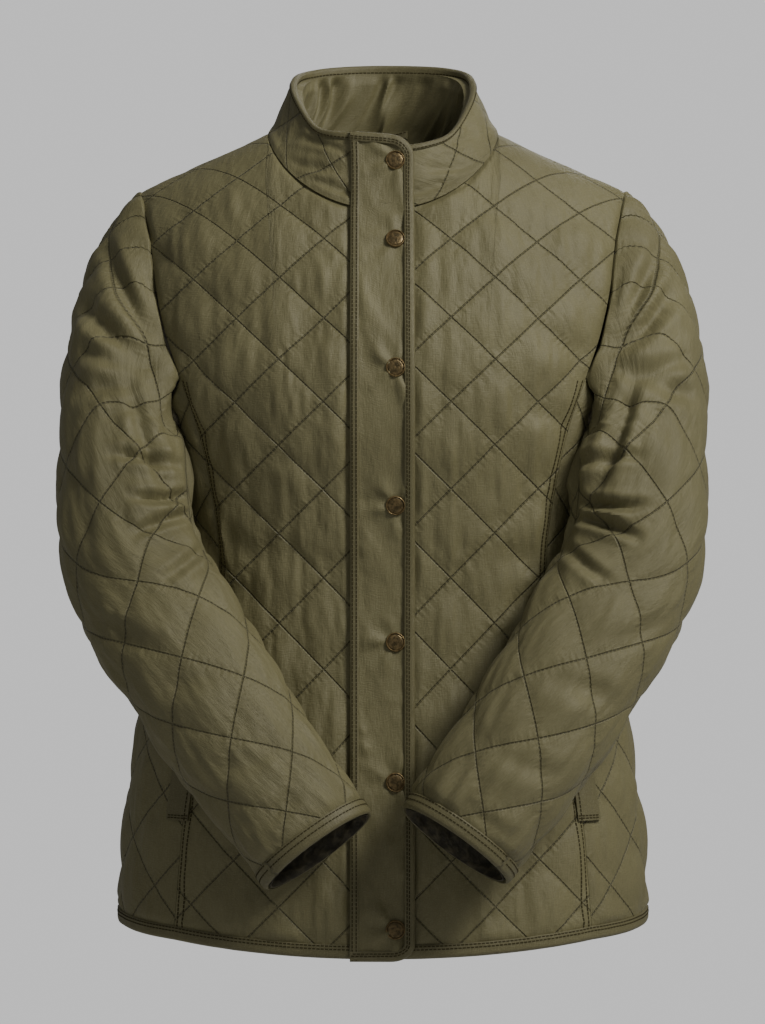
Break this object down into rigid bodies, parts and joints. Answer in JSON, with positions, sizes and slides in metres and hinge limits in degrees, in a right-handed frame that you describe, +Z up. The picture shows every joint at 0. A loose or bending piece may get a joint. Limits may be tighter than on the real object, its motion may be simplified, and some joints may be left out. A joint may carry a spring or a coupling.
{
  "type": "quilted jacket",
  "caption": "Hollow diamond-quilted jacket with a stand collar, snapped front band, princess seams and bent sleeves, filled out as worn with no wearer.",
  "frame": {"origin": "middle of the neck's base, at the height where the shoulder seams meet the collar", "axes": "+Z up, -Y the way the wearer faces, +X towards the wearer's left"},
  "size_m": [0.5212, 0.3239, 0.7276],
  "materials": {
    "quilted_cloth": "diamond-quilted olive woven cloth with a soft satin sheen",
    "plain_cloth": "plain olive woven cloth, lightly puckered",
    "binding": "folded olive binding tape with topstitching",
    "lining": "dark olive crinkled lining",
    "brass": "aged brass snap cap"
  },
  "bodies": {
    "root": {"front_right": "quilted_cloth", "front_left": "quilted_cloth", "side_right": "quilted_cloth", "side_left": "quilted_cloth", "back": "quilted_cloth", "upper_sleeve_right": "quilted_cloth", "upper_sleeve_left": "quilted_cloth", "under_sleeve_right": "quilted_cloth", "under_sleeve_left": "quilted_cloth", "collar_outer": "quilted_cloth", "placket_band": "plain_cloth", "collar_facing": "plain_cloth", "hem_binding": "binding", "collar_binding": "binding", "placket_binding": "binding", "placket_tape": "binding", "cuff_binding_right": "binding", "cuff_binding_left": "binding", "pocket_welt_right": "binding", "pocket_welt_left": "binding", "hanger_loop": "binding", "sleeve_lining_right": "lining", "sleeve_lining_left": "lining", "snap_cap_1": "brass", "snap_cap_2": "brass", "snap_cap_3": "brass", "snap_cap_4": "brass", "snap_cap_5": "brass", "snap_cap_6": "brass", "snap_cap_7": "brass", "snap_back_1": "brass", "snap_back_2": "brass", "snap_back_3": "brass", "snap_back_4": "brass", "snap_back_5": "brass", "snap_back_6": "brass", "snap_back_7": "brass"}
  },
  "joints": []
}
